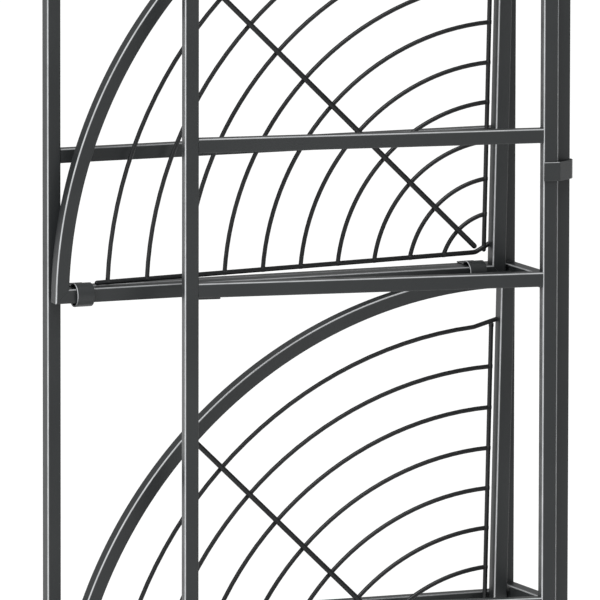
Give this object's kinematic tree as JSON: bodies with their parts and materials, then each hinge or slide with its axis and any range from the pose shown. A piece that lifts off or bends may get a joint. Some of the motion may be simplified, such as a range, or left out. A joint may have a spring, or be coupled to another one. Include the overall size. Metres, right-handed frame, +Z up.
{
  "type": "folding corner rack",
  "caption": "Folding quarter-round corner rack of square steel tube, with tip-up wire shelves and a hinged side gate, standing folded.",
  "frame": {"origin": "centre of the folded rack's bounding box on the floor", "axes": "+X along the back panel toward the corner post, +Y toward the wall behind the back panel, -Y to the front, +Z up"},
  "size_m": [0.4866, 0.153, 1.5],
  "materials": {
    "frame_coat": "satin powder coat, charcoal",
    "sheet_coat": "satin powder coat, charcoal",
    "wire_coat": "satin powder coat, charcoal",
    "foot_plastic": "matt black"
  },
  "bodies": {
    "frame": {"back_guard_rail_1": "frame_coat", "back_guard_rail_2": "frame_coat", "back_guard_rail_3": "frame_coat", "back_left_foot": "foot_plastic", "back_left_post": "frame_coat", "back_shelf_bar_1": "frame_coat", "back_shelf_bar_2": "frame_coat", "back_shelf_bar_3": "frame_coat", "back_top_rail": "frame_coat", "corner_foot": "foot_plastic", "corner_post": "frame_coat", "hinge_sleeve_left_1": "sheet_coat", "hinge_sleeve_left_2": "sheet_coat", "hinge_sleeve_left_3": "sheet_coat", "hinge_sleeve_right_1": "sheet_coat", "hinge_sleeve_right_2": "sheet_coat", "hinge_sleeve_right_3": "sheet_coat", "side_front_foot": "foot_plastic", "side_front_post": "frame_coat", "side_guard_rail_1": "frame_coat", "side_shelf_bar_1": "frame_coat", "side_shelf_bar_2": "frame_coat", "side_shelf_bar_3": "frame_coat", "side_top_rail": "frame_coat"},
    "gate": {"gate_free_foot": "foot_plastic", "gate_free_post": "frame_coat", "gate_guard_rail_1": "frame_coat", "gate_guard_rail_2": "frame_coat", "gate_guard_rail_3": "frame_coat", "gate_hinge_foot": "foot_plastic", "gate_hinge_post": "frame_coat", "gate_shelf_bar_1": "frame_coat", "gate_shelf_bar_2": "frame_coat", "gate_shelf_bar_3": "frame_coat", "gate_shelf_rest_1": "sheet_coat", "gate_shelf_rest_2": "sheet_coat", "gate_shelf_rest_3": "sheet_coat", "gate_strap_1": "sheet_coat", "gate_strap_2": "sheet_coat", "gate_strap_3": "sheet_coat", "gate_top_rail": "frame_coat"},
    "shelf_1": {"shelf_arc_tube_1": "frame_coat", "shelf_grille_1": "wire_coat", "shelf_hinge_tube_1": "frame_coat", "shelf_rod_1": "wire_coat", "shelf_side_tube_1": "frame_coat"},
    "shelf_2": {"shelf_arc_tube_2": "frame_coat", "shelf_grille_2": "wire_coat", "shelf_hinge_tube_2": "frame_coat", "shelf_rod_2": "wire_coat", "shelf_side_tube_2": "frame_coat"},
    "shelf_3": {"shelf_arc_tube_3": "frame_coat", "shelf_grille_3": "wire_coat", "shelf_hinge_tube_3": "frame_coat", "shelf_rod_3": "wire_coat", "shelf_side_tube_3": "frame_coat"}
  },
  "joints": [
    {"name": "gate_swing", "type": "hinge", "parent": "frame", "child": "gate", "pos_m": [0.23195, -0.05625, 0.75], "axis": [0, 0, 1], "range_deg": [0, 99]},
    {"name": "shelf_1_fold", "type": "hinge", "parent": "frame", "child": "shelf_1", "pos_m": [0.03195, 0.05275, 0.125], "axis": [1, 0, 0], "range_deg": [0, 86.4]},
    {"name": "shelf_2_fold", "type": "hinge", "parent": "frame", "child": "shelf_2", "pos_m": [0.03195, 0.05275, 0.5735], "axis": [1, 0, 0], "range_deg": [0, 86.4]},
    {"name": "shelf_3_fold", "type": "hinge", "parent": "frame", "child": "shelf_3", "pos_m": [0.03195, 0.05275, 1.022], "axis": [1, 0, 0], "range_deg": [0, 86.4]}
  ],
  "couplings": [
    {"joint": "shelf_1_fold", "follows": "gate_swing", "ratio": 0.25},
    {"joint": "shelf_2_fold", "follows": "gate_swing", "ratio": 0.25},
    {"joint": "shelf_3_fold", "follows": "gate_swing", "ratio": 0.25}
  ]
}
